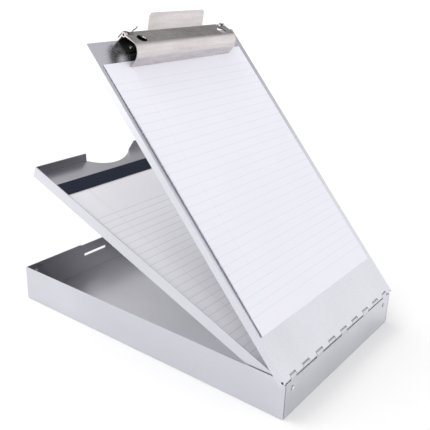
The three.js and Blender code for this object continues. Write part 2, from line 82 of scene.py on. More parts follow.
def leaf_box(node, leaf):
    """Lowest and highest corner of a CAD node in a leaf's own frame."""
    back = leaf.inverted()
    points = [back @ v.co for v in frame["nodes"][node].data.vertices]
    low = Vector([min(p[i] for p in points) for i in range(3)])
    high = Vector([max(p[i] for p in points) for i in range(3)])
    return low, high


# ---------------------------------------------------------------- materials


class Shader:
    """A Principled material and short names for the nodes that feed it."""

    def __init__(self, name, **constants):
        self.material = bpy.data.materials.new(name)
        self.material.use_nodes = True
        self.tree = self.material.node_tree
        self.shader = self.tree.nodes["Principled BSDF"]
        for socket, value in constants.items():
            self.shader.inputs[socket.replace("_", " ")].default_value = value

    def node(self, kind, **settings):
        made = self.tree.nodes.new("ShaderNode" + kind)
        for key, value in settings.items():
            if hasattr(made, key):
                setattr(made, key, value)
            else:
                made.inputs[key.replace("_", " ")].default_value = value
        return made

    def link(self, source, target):
        self.tree.links.new(source, target)

    def coordinates(self, angle, stretch):
        """Object coordinates turned back into a leaf's own axes and stretched along them."""
        place = self.node("TexCoord")
        turn = self.node("Mapping", Rotation=(-angle, 0, 0))
        self.link(place.outputs["Object"], turn.inputs["Vector"])
        scale = self.node("Mapping", Scale=stretch)
        self.link(turn.outputs["Vector"], scale.inputs["Vector"])
        return scale.outputs["Vector"]

    def noise(self, vector, scale, detail=3.0, roughness=0.55):
        made = self.node("TexNoise", Scale=scale, Detail=detail, Roughness=roughness)
        self.link(vector, made.inputs["Vector"])
        return made.outputs["Fac"]

    def ramp(self, value, low, high, start=0.3, end=0.7):
        made = self.node("ValToRGB")
        first, last = made.color_ramp.elements
        first.position, last.position = start, end
        first.color, last.color = low, high
        self.link(value, made.inputs["Fac"])
        return made.outputs["Color"]

    def span(self, value, low, high, start=0.0, end=1.0):
        made = self.node("MapRange")
        made.inputs["From Min"].default_value = start
        made.inputs["From Max"].default_value = end
        made.inputs["To Min"].default_value = low
        made.inputs["To Max"].default_value = high
        self.link(value, made.inputs["Value"])
        return made.outputs["Result"]

    def math(self, operation, first, second=None, third=None):
        made = self.node("Math", operation=operation)
        for socket, value in zip(made.inputs, (first, second, third)):
            if value is None:
                continue
            if isinstance(value, (int, float)):
                socket.default_value = value
            else:
                self.link(value, socket)
        return made.outputs[0]

    def mix(self, factor, first, second, blend="MIX"):
        made = self.node("Mix", data_type="RGBA", blend_type=blend)
        sockets = [s for s in made.inputs if s.enabled]
        for socket, value in zip(sockets, (factor, first, second)):
            if isinstance(value, (int, float, tuple)):
                socket.default_value = value
            else:
                self.link(value, socket)
        return [s for s in made.outputs if s.enabled][0]

    def bump(self, height, strength, distance):
        made = self.node("Bump", Strength=strength, Distance=distance)
        self.link(height, made.inputs["Height"])
        self.link(made.outputs["Normal"], self.shader.inputs["Normal"])

    def colour(self, source):
        self.link(source, self.shader.inputs["Base Color"])

    def roughness(self, source):
        self.link(source, self.shader.inputs["Roughness"])


def grey(level, warm=0.0):
    """A colour without hue, or a little warmer."""
    return (level * (1 + warm), level, level * (1 - warm), 1.0)


PAINTED_SHADE_FROM = -0.1  # y, in metres: nearer the hinge than this the aluminium gets no painted shade
# the dark grey of the painted shade on aluminium faces that look back towards the hinge
PAINTED_SHADE_GREY = grey(0.16, 0.02)
GRAIN_GREY = grey(0.42)
STEEL_BUMP = 0.05 * MM
FIBRE_BUMP = 0.06 * MM
PAPER_BUMP = 0.04 * MM


def sheet_metal(name, angle, dark, light, rough, painted_shade=0.62):
    """Rolled aluminium: a fine grain along the leaf, faint clouds and slightly uneven gloss.
    Faces that look back towards the hinge get painted shade: their colour is mixed towards a dark grey."""
    made = Shader(name, Metallic=1.0)
    grain = made.noise(made.coordinates(angle, (1, 0.02, 1)), 2600, 2.0)
    cloud = made.noise(made.coordinates(angle, (1, 0.45, 1)), 14, 3.0)
    scuff = made.noise(made.coordinates(angle, (0.3, 1, 1)), 95, 4.0, 0.7)
    tone = made.ramp(cloud, dark, light, 0.32, 0.68)
    worn = made.mix(made.span(grain, 0.0, 0.05, 0.35, 0.7), tone, GRAIN_GREY)
    facing = made.node("VectorMath", operation="DOT_PRODUCT")
    made.link(made.node("TexCoord").outputs["Normal"], facing.inputs[0])
    facing.inputs[1].default_value = (0, -math.cos(angle), -math.sin(angle))
    place = made.node("SeparateXYZ")
    made.link(made.node("TexCoord").outputs["Object"], place.inputs["Vector"])
    # painted shade: faces that look back towards the hinge, away from the hinge end, are mixed towards a dark
    # grey
    shade_mask = made.span(facing.outputs["Value"], 0.0, painted_shade, 0.75, 0.97)
    shade_mask = made.math("MULTIPLY", shade_mask, made.math("GREATER_THAN", place.outputs["Y"], PAINTED_SHADE_FROM))
    made.colour(made.mix(shade_mask, worn, PAINTED_SHADE_GREY))
    clouded = made.span(cloud, -0.015, 0.015, 0.3, 0.7)
    uneven = made.math("ADD", clouded, made.span(scuff, -0.008, 0.012, 0.35, 0.7))
    made.roughness(made.math("ADD", uneven, made.span(grain, rough - 0.01, rough + 0.015, 0.3, 0.7)))
    return made.material


def brushed_steel(name, dark, light, rough):
    """Stainless sheet brushed along the clip: streaks run along x."""
    made = Shader(name, Metallic=1.0)
    streak = made.noise(made.coordinates(BOARD_ANGLE, (0.03, 1, 1)), 3200, 3.0, 0.6)
    band = made.noise(made.coordinates(BOARD_ANGLE, (0.12, 1, 1)), 160, 4.0, 0.65)
    cloud = made.noise(made.coordinates(BOARD_ANGLE, (1, 1, 1)), 38, 3.0)
    tone = made.ramp(band, dark, light, 0.3, 0.7)
    made.colour(made.mix(made.span(cloud, 0.0, 0.25, 0.4, 0.7), tone, light))
    uneven = made.span(cloud, -0.04, 0.05, 0.3, 0.7)
    made.roughness(made.math("ADD", uneven, made.span(streak, rough - 0.05, rough + 0.06, 0.3, 0.7)))
    made.bump(streak, 0.12, STEEL_BUMP)
    return made.material


def ruled_paper(name, page, ink, margin, tone, shade):
    """Ruled writing paper. page = (width, length, first line, last line, pitch, margin), in metres from
    the sheet's lower left corner; the UV map runs over the whole sheet."""
    width, length, first, last, pitch, margin_at = page
    made = Shader(name, Roughness=0.82)
    made.shader.inputs["Specular IOR Level"].default_value = 0.25
    uv = made.node("UVMap", uv_map="page")
    parts = made.node("SeparateXYZ")
    made.link(uv.outputs["UV"], parts.inputs["Vector"])
    across = made.math("MULTIPLY", parts.outputs["X"], width)
    along = made.math("MULTIPLY", parts.outputs["Y"], length)
    line = 0.42 * MM  # width of a printed line
    turn = made.math("DIVIDE", made.math("SUBTRACT", along, first - pitch / 2), pitch)
    off = made.math("ABSOLUTE", made.math("SUBTRACT", made.math("FRACT", turn), 0.5))
    ruled = made.span(off, 1.0, 0.0, line * 0.3 / pitch, line * 0.7 / pitch)
    above = made.math("GREATER_THAN", along, first - pitch / 2)
    inside = made.math("MULTIPLY", above, made.math("LESS_THAN", along, last + pitch / 2))
    side = made.math("ABSOLUTE", made.math("SUBTRACT", across, margin_at))
    edge_line = made.span(side, 1.0, 0.0, line * 0.35, line * 0.8)
    place = made.coordinates(0.0, (1, 1, 1))
    fade = made.span(made.noise(place, 420, 2.0), 0.65, 1.0, 0.3, 0.7)
    cloud = made.noise(place, 9, 3.0)
    fibre = made.noise(place, 1500, 4.0, 0.7)
    base = made.ramp(cloud, shade, tone, 0.3, 0.7)
    lined = made.mix(made.math("MULTIPLY", made.math("MULTIPLY", ruled, inside), fade), base, ink)
    margin_ink = made.math("MULTIPLY", edge_line, made.span(fade, 0.5, 0.75, 0.6, 1.0))
    made.colour(made.mix(margin_ink, lined, margin))
    made.bump(fibre, 0.10, PAPER_BUMP)
    return made.material


def fibrous(name, dark, light, rough, scale, bump):
    """Card or tape: a fine fibre pattern in two tones."""
    made = Shader(name)
    place = made.coordinates(0.0, (1, 1, 1))
    fibre = made.noise(place, scale, 5.0, 0.7)
    cloud = made.noise(place, scale / 14, 3.0)
    made.colour(made.mix(made.span(cloud, 0.0, 0.5, 0.35, 0.65), made.ramp(fibre, dark, light), dark))
    made.roughness(made.span(fibre, rough - 0.08, rough + 0.08, 0.3, 0.7))
    made.bump(fibre, bump, FIBRE_BUMP)
    return made.material


def tones(dark, light):
    """Two opaque colours."""
    return (*dark, 1), (*light, 1)


# The lightest metal is the board's, and the middle tray's end wall has the strongest painted shade.
TRAY_TONES = tones((0.60, 0.60, 0.645), (0.66, 0.66, 0.71))
MIDDLE_TONES = tones((0.62, 0.62, 0.665), (0.68, 0.68, 0.73))
BOARD_TONES = tones((0.65, 0.65, 0.70), (0.70, 0.70, 0.755))
ALUMINIUM = {
    "tray": sheet_metal("tray_aluminium", 0.0, *TRAY_TONES, 0.30),
    "middle": sheet_metal("middle_aluminium", MIDDLE_ANGLE, *MIDDLE_TONES, 0.30, 0.85),
    "board": sheet_metal("board_aluminium", BOARD_ANGLE, *BOARD_TONES, 0.27),
}
STEEL = brushed_steel("brushed_stainless", *tones((0.54, 0.505, 0.495), (0.69, 0.65, 0.655)), 0.25)
# Near-black steel is painted shade: it stands for the shade on the clip's base and on the jaw's inner side.
SHADE_DARK_STEEL = brushed_steel("stainless_painted_shade", *tones((0.07, 0.068, 0.066), (0.11, 0.108, 0.105)), 0.45)
SPRING = brushed_steel("spring_steel", *tones((0.13, 0.127, 0.124), (0.24, 0.235, 0.23)), 0.34)
RIVET = brushed_steel("rivet_aluminium", *tones((0.58, 0.58, 0.60), (0.74, 0.74, 0.77)), 0.30)
TAPE = fibrous("navy_tape", *tones((0.006, 0.010, 0.023), (0.012, 0.018, 0.038)), 0.75, 900, 0.35)
TAPE.node_tree.nodes["Principled BSDF"].inputs["Specular IOR Level"].default_value = 0.22
CARD = fibrous("grey_card", *tones((0.22, 0.20, 0.17), (0.34, 0.31, 0.27)), 0.9, 1100, 0.4)

# ---------------------------------------------------------------- carried-over CAD pieces


CUT_EDGE, CUT_LIMIT = 0.22 * MM, 32  # rounding of sheared edges, and the sharpest fold left alone, in degrees
CARD_EDGE = 0.15 * MM
PRESSED_EDGE, PRESSED_LIMIT = 0.14 * MM, 35  # the same for the clip's thinner, deburred steel


def dress(node, material, bevel=CUT_EDGE):
    """Paints a CAD node and rounds its cut edges."""
    piece = frame["nodes"][node]
    piece.data.materials.clear()
    piece.data.materials.append(material)
    for polygon in piece.data.polygons:
        polygon.use_smooth = True
    round_edges(piece, bevel, CUT_LIMIT)


def round_edges(piece, bevel, limit):
    """Merges a piece's flat faces and rounds the edges that turn by more than limit degrees."""
    flat = piece.modifiers.new("flat faces", "DECIMATE")
    flat.decimate_type = "DISSOLVE"
    flat.angle_limit = math.radians(0.5)
    edge = piece.modifiers.new("rounded edges", "BEVEL")
    edge.width = bevel
    edge.segments = 2
    edge.limit_method = "ANGLE"
    edge.angle_limit = math.radians(limit)
    edge.use_clamp_overlap = True
    piece.modifiers.new("face normals", "WEIGHTED_NORMAL").keep_sharp = False


dress("tray_pan", ALUMINIUM["tray"])
dress("middle_tray", ALUMINIUM["middle"])
dress("board_plate", ALUMINIUM["board"])
# painted shade: the clip's base gets the near-black steel
dress("clip_base", SHADE_DARK_STEEL)
dress("latch_spring", SPRING)
dress("pad_backing", CARD, CARD_EDGE)

# ---------------------------------------------------------------- building new pieces


def piece_from(bm, name, leaf, material, body, nodes, smooth_angle=35):
    """Turns leaf-frame geometry into a piece that rides on a body and stands for CAD nodes."""
    bmesh.ops.recalc_face_normals(bm, faces=bm.faces)
    mesh = bpy.data.meshes.new(name)
    bm.to_mesh(mesh)
    bm.free()
    mesh.transform(leaf)
    mesh.shade_smooth()
    mesh.set_sharp_from_angle(angle=math.radians(smooth_angle))
    mesh.materials.append(material)
    piece = bpy.data.objects.new(name, mesh)
    bpy.context.scene.collection.objects.link(piece)
    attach(piece, body)
    if nodes:
        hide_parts(*nodes)
    return piece


def lathe(bm, profile, place, sides=40):
    """Turns (radius, height) points about the z axis of place. Points on the axis close the ends."""
    rings = []
    for radius, height in profile:
        if radius == 0:
            rings.append([bm.verts.new(place @ Vector((0, 0, height)))])
            continue
        turns = [2 * math.pi * i / sides for i in range(sides)]
        spots = [Vector((radius * math.cos(t), radius * math.sin(t), height)) for t in turns]
        rings.append([bm.verts.new(place @ spot) for spot in spots])
    for low, high in zip(rings, rings[1:]):
        for i in range(sides):
            j = (i + 1) % sides
            corners = [low[i % len(low)], low[j % len(low)], high[j % len(high)], high[i % len(high)]]
            bm.faces.new(list(dict.fromkeys(corners)))


def sweep(bm, path, radius, sides=16):
    """A round wire along a path of points, with domed ends."""
    caps = (0.35, 0.8)  # shares of the radius at the two rings of each end

    def ring(centre, along, side_axis, size):
        other = along.cross(side_axis)
        return [
            bm.verts.new(centre + size * (side_axis * math.cos(t) + other * math.sin(t)))
            for t in (2 * math.pi * i / sides for i in range(sides))
        ]

    tangents = []
    for i, point in enumerate(path):
        before, after = path[max(i - 1, 0)], path[min(i + 1, len(path) - 1)]
        tangents.append((after - before).normalized())
    axis = tangents[0].orthogonal().normalized()
    rings = []
    for cap in caps:
        rings.append(ring(path[0] - tangents[0] * radius * (1 - cap), tangents[0], axis, radius * cap))
    for point, tangent in zip(path, tangents):
        axis = (axis - tangent * axis.dot(tangent)).normalized()
        rings.append(ring(point, tangent, axis, radius))
    for cap in reversed(caps):
        rings.append(ring(path[-1] + tangents[-1] * radius * (1 - cap), tangents[-1], axis, radius * cap))
    for low, high in zip(rings, rings[1:]):
        for i in range(sides):
            j = (i + 1) % sides
            bm.faces.new((low[i], low[j], high[j], high[i]))
    bm.faces.new(rings[0])
    bm.faces.new(rings[-1])


def dome(radius, height, steps=8):
    """Profile of a rounded rivet head, from its rim to its crown."""
    rim = 0.25 * MM
    turns = [i / steps * math.pi / 2 for i in range(steps)]
    return [(radius * math.cos(t), rim + (height - rim) * math.sin(t)) for t in turns] + [(0, height)]


def rivet(node, leaf, direction, material, body):
    """A domed blind rivet in place of a CAD one: its head points along direction in the leaf's frame."""
    low, high = leaf_box(node, leaf)
    axis = max(range(3), key=lambda i: abs(direction[i]))
    head = max(high[i] - low[i] for i in range(3) if i != axis) / 2
    length = high[axis] - low[axis]
    centre = (low + high) / 2
    top = centre + Vector(direction) * (length / 2)
    crown, tail, shank = 0.9 * MM, 0.4 * MM, 1.2 * MM
    pit = 0.62 * MM  # radius of the hole that the pulled mandrel leaves in the crown
    profile = [(0, -length + tail * 0.4), (pit, -length + tail * 0.2), (head * 0.62, -length)]
    profile += [(head * 0.76, -length + tail * 0.3), (head * 0.8, -length + tail), (shank, -length + tail)]
    profile += [(shank, -crown), (head, -crown)]
    rounded = dome(head, crown)
    outer = [(r, h - crown) for r, h in rounded if r > pit]
    brink = outer[-1][1]
    profile += outer + [(pit, brink), (pit * 0.8, brink - 0.22 * MM), (0, brink - 0.3 * MM)]
    turn = Vector((0, 0, 1)).rotation_difference(Vector(direction)).to_matrix().to_4x4()
    bm = bmesh.new()
    lathe(bm, profile, Matrix.Translation(top) @ turn)
    piece_from(bm, node + "_look", leaf, material, body, [node])


for end, direction in (("front", (0, -1, 0)), ("rear", (0, 1, 0))):
    for side in ("left", "right"):
        rivet(f"tray_rivet_{end}_{side}", TRAY, direction, RIVET, "tray")
for spot in ("outer_left", "inner_left", "inner_right", "outer_right"):
    rivet(f"clip_rivet_{spot}", BOARD, (0, 0, 1), STEEL, "board")
for side in ("left", "right"):
    rivet(f"latch_rivet_{side}", BOARD, (0, 0, 1), RIVET, "board")


def rod(node, leaf, body):
    """A drawn steel rod with chamfered ends in place of a CAD one, along x."""
    low, high = leaf_box(node, leaf)
    radius = (high.z - low.z) / 2
    half = (high.x - low.x) / 2
    chamfer = 0.3 * MM
    profile = [(0, -half), (radius - chamfer, -half), (radius, -half + chamfer)]
    profile += [(radius, x * half) for x in (-0.75, -0.5, -0.25, 0, 0.25, 0.5, 0.75)]
    profile += [(radius, half - chamfer), (radius - chamfer, half), (0, half)]
    bm = bmesh.new()
    lathe(bm, profile, Matrix.Translation((low + high) / 2) @ Matrix.Rotation(math.pi / 2, 4, "Y"))
    piece_from(bm, node + "_look", leaf, SPRING, body, [node])


rod("hinge_pin", TRAY, "tray")
rod("clip_rod", BOARD, "board")

# ---------------------------------------------------------------- papers

LINE_PITCH = 8.6 * MM


def paper_sheet(bm, low, high, base, thick, lift, offset, steps=(26, 34)):
    """One sheet: a grid with a top, a bottom and an edge. lift(u, v) raises it above base."""
    page = bm.loops.layers.uv.verify()
    nx, ny = steps
    rows = []
    for level in (0, thick):
        grid = []
        for j in range(ny + 1):
            v = j / ny
            row = []
            for i in range(nx + 1):
                u = i / nx
                x = low.x + u * (high.x - low.x) + offset[0]
                y = low.y + v * (high.y - low.y) + offset[1]
                row.append(bm.verts.new((x, y, base + level + lift(u, v))))
            grid.append(row)
        rows.append(grid)

    def face(corners):
        made = bm.faces.new([rows[k][j][i] for i, j, k in corners])
        for loop, (i, j, _) in zip(made.loops, corners):
            loop[page].uv = (i / nx, j / ny)

    for j in range(ny):
        for i in range(nx):
            face(((i, j, 1), (i + 1, j, 1), (i + 1, j + 1, 1), (i, j + 1, 1)))
            face(((i, j + 1, 0), (i + 1, j + 1, 0), (i + 1, j, 0), (i, j, 0)))
    for i in range(nx):
        face(((i, 0, 0), (i + 1, 0, 0), (i + 1, 0, 1), (i, 0, 1)))
        face(((i, ny, 1), (i + 1, ny, 1), (i + 1, ny, 0), (i, ny, 0)))
    for j in range(ny):
        face(((0, j, 1), (0, j + 1, 1), (0, j + 1, 0), (0, j, 0)))
        face(((nx, j, 0), (nx, j + 1, 0), (nx, j + 1, 1), (nx, j, 1)))


def smooth_step(value, start, end):
    """0 before start, 1 after end and an even curve between them."""
    t = min(1.0, max(0.0, (value - start) / (end - start)))
    return t * t * (3 - 2 * t)


def clipped_sheets():
    """Seven ruled sheets under the clip. Their left edges have curled up a little below it."""
    low, high = leaf_box("top_sheets", BOARD)
    count, thick = 7, 0.1 * MM
    curl, corner_curl, lowest = 0.9, 0.35, 0.25  # in mm, and the lowest sheet's share of them
    step = (high.z - low.z - thick) / (count - 1)
    bm = bmesh.new()
    for k in range(count):
        share = k / (count - 1)

        def lift(u, v, share=share):
            edge = (1 - smooth_step(u, 0.0, 0.16)) ** 1.5
            along = smooth_step(v, -0.05, 0.25) * (1 - smooth_step(v, 0.72, 0.95))
            ripple = 1 + 0.12 * math.sin(9 * v + 1.3)
            corner = (1 - smooth_step(u, 0.0, 0.1)) * (1 - smooth_step(v, 0.0, 0.08))
            height = curl * edge * along * ripple + corner_curl * corner
            return (lowest + (1 - lowest) * share) * height * MM

        offset = (0, 0)
        if k not in (0, count - 1):
            offset = (chance.uniform(-0.3, 0.3) * MM, chance.uniform(-0.5, 0.1) * MM)
        paper_sheet(bm, low, high, low.z + k * step, thick, lift, offset)
    width, length = high.x - low.x, high.y - low.y
    first, spaces, margin = 17.2 * MM, 28, 32.6 * MM
    page = (width, length, first, first + spaces * LINE_PITCH, LINE_PITCH, margin)
    inks = tones((0.62, 0.64, 0.76), (0.84, 0.60, 0.66))
    material = ruled_paper("clipped_paper", page, *inks, *tones((0.775, 0.77, 0.84), (0.755, 0.75, 0.815)))
    name_uv(piece_from(bm, "ruled_sheets", BOARD, material, "board", ["top_sheets"]))


def pad_pages():
    """The pad's block of pages as bundles whose edges don't quite line up."""
    low, high = leaf_box("pad_pages", MIDDLE)
    count, gap = 16, 0.06 * MM
    step = (high.z - low.z) / count
    bm = bmesh.new()
    for k in range(count):
        top_page = k == count - 1

        def lift(u, v, top_page=top_page):
            if not top_page:
                return 0.0
            fold = smooth_step(v, 0.9, 0.955)
            wave = 0.10 * math.sin(7.5 * v + 0.6) * math.sin(math.pi * u)
            return (-0.05 * fold + 0.5 * wave * (1 - fold)) * MM

        offset = (0, 0) if top_page else (chance.uniform(-0.15, 0.15) * MM, chance.uniform(0, 0.3) * MM)
        thick = step - gap
        steps = (16, 40) if top_page else (2, 3)
        paper_sheet(bm, low, high, low.z + k * step, thick, lift, offset, steps)
    width, length = high.x - low.x, high.y - low.y
    first, spaces, margin = 20.4 * MM, 25, 30.5 * MM
    page = (width, length, first, first + spaces * LINE_PITCH, LINE_PITCH, margin)
    inks = tones((0.40, 0.45, 0.54), (0.74, 0.50, 0.52))
    material = ruled_paper("pad_paper", page, *inks, *tones((0.80, 0.79, 0.82), (0.76, 0.75, 0.78)))
    name_uv(piece_from(bm, "pad_page_block", MIDDLE, material, "middle", ["pad_pages"]))


def name_uv(piece):
    """Gives the sheet's UV map the name that the paper material reads."""
    piece.data.uv_layers[0].name = "page"


def pad_tape():
    """The navy strip folded round the pad's head, with soft folds."""
    low, high = leaf_box("pad_binding", MIDDLE)
    skin, turn, bend_steps = 0.3 * MM, 0.9 * MM, 6

    def outline(inset):
        y0, y1, z0, z1 = low.y, high.y - inset, low.z + inset, high.z - inset
        radius = turn - inset
        points = [(y0, z0), ((y0 + y1) / 2, z0)]
        for centre_z, start in ((z0 + radius, -math.pi / 2), (z1 - radius, 0.0)):
            for i in range(bend_steps + 1):
                t = start + i / bend_steps * math.pi / 2
                points.append((y1 - radius + radius * math.cos(t), centre_z + radius * math.sin(t)))
        return points + [((y0 + y1) / 2, z1), (y0, z1)]

    outer, inner = outline(0.0), outline(skin)
    bm = bmesh.new()
    stations = 24
    rings = []
    for i in range(stations + 1):
        x = low.x + (high.x - low.x) * i / stations
        wobble = 0.12 * MM * math.sin(1.9 * i) * math.sin(0.7 * i + 1)
        ring = []
        for k, (y, z) in enumerate(outer + inner[::-1]):
            free_edge = k in (0, len(outer) - 1, len(outer), 2 * len(outer) - 1)
            ring.append(bm.verts.new((x, y + (wobble if free_edge else 0), z)))
        rings.append(ring)
    count = len(rings[0])
    for a, b in zip(rings, rings[1:]):
        for i in range(count):
            j = (i + 1) % count
            bm.faces.new((a[i], a[j], b[j], b[i]))
    for ring in (rings[0], rings[-1]):
        for i in range(len(outer) - 1):
            bm.faces.new((ring[i], ring[i + 1], ring[count - 2 - i], ring[count - 1 - i]))
    piece_from(bm, "pad_tape", MIDDLE, TAPE, "middle", ["pad_binding"])


clipped_sheets()
pad_pages()
pad_tape()

# ---------------------------------------------------------------- clip jaw and springs

SHEET = 0.9 * MM
EYE = 2.3 * MM  # outer radius of the rolled eyes
EYE_SKIN = 0.03 * MM  # the eyes' rods stand this far proud of the hem, so that no faces coincide
BORE = 1.3 * MM  # radius of the eyes' holes
BACK_LENGTH, BACK_SLOPE = 14 * MM, math.radians(24.5)
CREST_RADIUS, CREST_END = 7 * MM, math.radians(110)
FRONT_RADIUS, FRONT_END = 13 * MM, math.radians(175)
HEM_HEIGHT = 1.1 * MM  # the rolled rear edge is pressed flat at this height above the rod's centre
HEM_STEPS, CREST_STEPS, FRONT_STEPS = 40, 16, 28
HOLE = {"x": 62.7 * MM, "y": 333.6 * MM, "radius": 5.4 * MM}
LEVER = {
    "centre": -2 * MM,
    "half": 42.5 * MM,
    "root": (2.15 * MM, 1.5 * MM),  # a point in the plate's middle, from the rod's centre
    "sunk": 0.8 * MM,  # how far it runs on below that point, into the hem
    "length": 15.9 * MM,
    "lean": math.radians(50.7),
    "corner": 3.4 * MM,
    "corner_steps": 8,
    "plain_steps": 4,
}
COIL_ROOM = {"start": 66.0 * MM, "end": 74.8 * MM, "radius": 2.45 * MM}
OVERLAP = 0.2 * MM  # of pieces that are joined
TOOL_SIDES = 64
COIL = {"wire": 1.0 * MM, "radius": 1.6 * MM, "inner": 66.4 * MM, "outer": 71.6 * MM, "turns": 3}
COIL["swept"] = COIL["wire"] * 0.58  # radius of the swept wire
COIL["steps"] = 24  # points in each turn
PIVOT = BOARD.inverted() @ Vector(JOINTS["clip_jaw_hinge"]["pos_m"])


def solid_object(bm):
    """A closed tool for the booleans."""
    bmesh.ops.recalc_face_normals(bm, faces=bm.faces)
    mesh = bpy.data.meshes.new("tool")
    bm.to_mesh(mesh)
    bm.free()
    made = bpy.data.objects.new("tool", mesh)
    bpy.context.scene.collection.objects.link(made)
    return made


def prism(outline, x0, x1):
    """A closed outline of (y, z) points drawn out along x."""
    bm = bmesh.new()
    ends = [[bm.verts.new((x, y, z)) for y, z in outline] for x in (x0, x1)]
    for i in range(len(outline)):
        j = (i + 1) % len(outline)
        bm.faces.new((ends[0][i], ends[0][j], ends[1][j], ends[1][i]))
    for end in ends:
        bm.faces.new(end)
    return solid_object(bm)


def cylinder(radius, half, place):
    bm = bmesh.new()
    lathe(bm, [(0, -half), (radius, -half), (radius, half), (0, half)], place, TOOL_SIDES)
    return solid_object(bm)


def tool_rod(radius, side, near, far):
    """A cylinder round the clip rod's axis between two distances from the middle, on one side."""
    x0, x1 = sorted((side * near, side * far))
    place = Matrix.Translation(((x0 + x1) / 2, PIVOT.y, PIVOT.z)) @ Matrix.Rotation(math.pi / 2, 4, "Y")
    return cylinder(radius, (x1 - x0) / 2, place)


def combine(base, *steps):
    """Adds or cuts the tools in turn and removes them."""
    for operation, tool in steps:
        step = base.modifiers.new("step", "BOOLEAN")
        step.operation, step.object, step.solver = operation, tool, "EXACT"
        shaped = base.evaluated_get(bpy.context.evaluated_depsgraph_get())
        mesh = bpy.data.meshes.new_from_object(shaped)
        base.modifiers.clear()
        base.data = mesh
        bpy.data.objects.remove(tool)
    return base


def spot(centre, radius, turn):
    return centre[0] + radius * math.cos(turn), centre[1] + radius * math.sin(turn)


def arc(centre, radius, start, end, steps):
    """Points of an arc round a (y, z) centre."""
    return [spot(centre, radius, start + (end - start) * i / steps) for i in range(steps + 1)]


def jaw_outline():
    """The jaw's section in y and z: pressed hem over the rod, straight back, two bends and the lip."""
    y, z, half = PIVOT.y, PIVOT.z, SHEET / 2
    start = math.pi / 2 - BACK_SLOPE

    def on_back(along, above):
        """A point along the straight back from the rod, and above its middle."""
        return (
            y - along * math.cos(BACK_SLOPE) + above * math.cos(start),
            z + along * math.sin(BACK_SLOPE) + above * math.sin(start),
        )

    crest = on_back(BACK_LENGTH, -CREST_RADIUS)
    front = spot(crest, CREST_RADIUS - FRONT_RADIUS, CREST_END)
    lip = leaf_box("clip_jaw", BOARD)[0].z

    def foot(radius):
        y0, z0 = spot(front, radius, FRONT_END)
        return (y0 + (z0 - lip) * math.tan(FRONT_END), lip)

    hem = math.asin(HEM_HEIGHT / EYE)
    ridge = on_back(-EYE * math.cos(hem), HEM_HEIGHT)
    away = (ridge[0] - crest[0], ridge[1] - crest[1])
    tangent = math.atan2(away[1], away[0]) + math.acos((CREST_RADIUS + half) / math.hypot(*away))
    points = [ridge]
    points += arc(crest, CREST_RADIUS + half, tangent, CREST_END, CREST_STEPS)
    points += arc(front, FRONT_RADIUS + half, CREST_END, FRONT_END, FRONT_STEPS)[1:]
    points += [foot(FRONT_RADIUS + half), foot(FRONT_RADIUS - half)]
    points += arc(front, FRONT_RADIUS - half, FRONT_END, CREST_END, FRONT_STEPS)
    points += arc(crest, CREST_RADIUS - half, CREST_END, start, CREST_STEPS)[1:]
    # The hem runs on round the rod, from the sheet's underside to the ridge at the rear.
    back = math.pi - BACK_SLOPE
    first = back + math.asin(half / EYE)
    last = back + 2 * math.pi - (math.pi - hem)
    return points + arc((y, z), EYE, first, last, HEM_STEPS)[:-1]


def thumb_lever():
    """The thumb lever: a flat plate with rounded corners that rises from the jaw's pressed hem."""
    half, corner, lean = LEVER["half"], LEVER["corner"], LEVER["lean"]
    y0 = PIVOT.y + LEVER["root"][0] - LEVER["sunk"] * math.cos(lean)
    z0 = PIVOT.z + LEVER["root"][1] - LEVER["sunk"] * math.sin(lean)
    parts = LEVER["corner_steps"]
    corner_steps = [corner * (1 - math.cos(i / parts * math.pi / 2)) for i in range(parts, -1, -1)]
    flat = LEVER["length"] + LEVER["sunk"]
    plain = [flat * k / LEVER["plain_steps"] for k in range(LEVER["plain_steps"])]
    runs = plain + [flat - step for step in corner_steps]
    widths = [half] * len(plain)
    for step in corner_steps:
        inward = corner - step
        widths.append(half - corner + math.sqrt(max(corner**2 - inward**2, 0)))
    line = [(y0 + run * math.cos(lean), z0 + run * math.sin(lean)) for run in runs]
    bm = bmesh.new()
    rings = []
    for i, ((y, z), width) in enumerate(zip(line, widths)):
        before, after = line[max(i - 1, 0)], line[min(i + 1, len(line) - 1)]
        size = math.hypot(after[0] - before[0], after[1] - before[1])
        across = Vector((0, -(after[1] - before[1]) / size, (after[0] - before[0]) / size)) * (SHEET / 2)
        ends = [Vector((LEVER["centre"] - width, y, z)), Vector((LEVER["centre"] + width, y, z))]
        corners = (ends[0] + across, ends[1] + across, ends[1] - across, ends[0] - across)
        rings.append([bm.verts.new(point) for point in corners])
    sides = len(rings[0])
    for low, high in zip(rings, rings[1:]):
        for i in range(sides):
            j = (i + 1) % sides
            bm.faces.new((low[i], low[j], high[j], high[i]))
    bm.faces.new(rings[0])
    bm.faces.new(rings[-1])
    piece = piece_from(bm, "thumb_lever", BOARD, STEEL, "jaw", [], 180)
    round_edges(piece, PRESSED_EDGE, PRESSED_LIMIT)
    piece.visible_glossy = False  # the jaw's back stays evenly dark below it


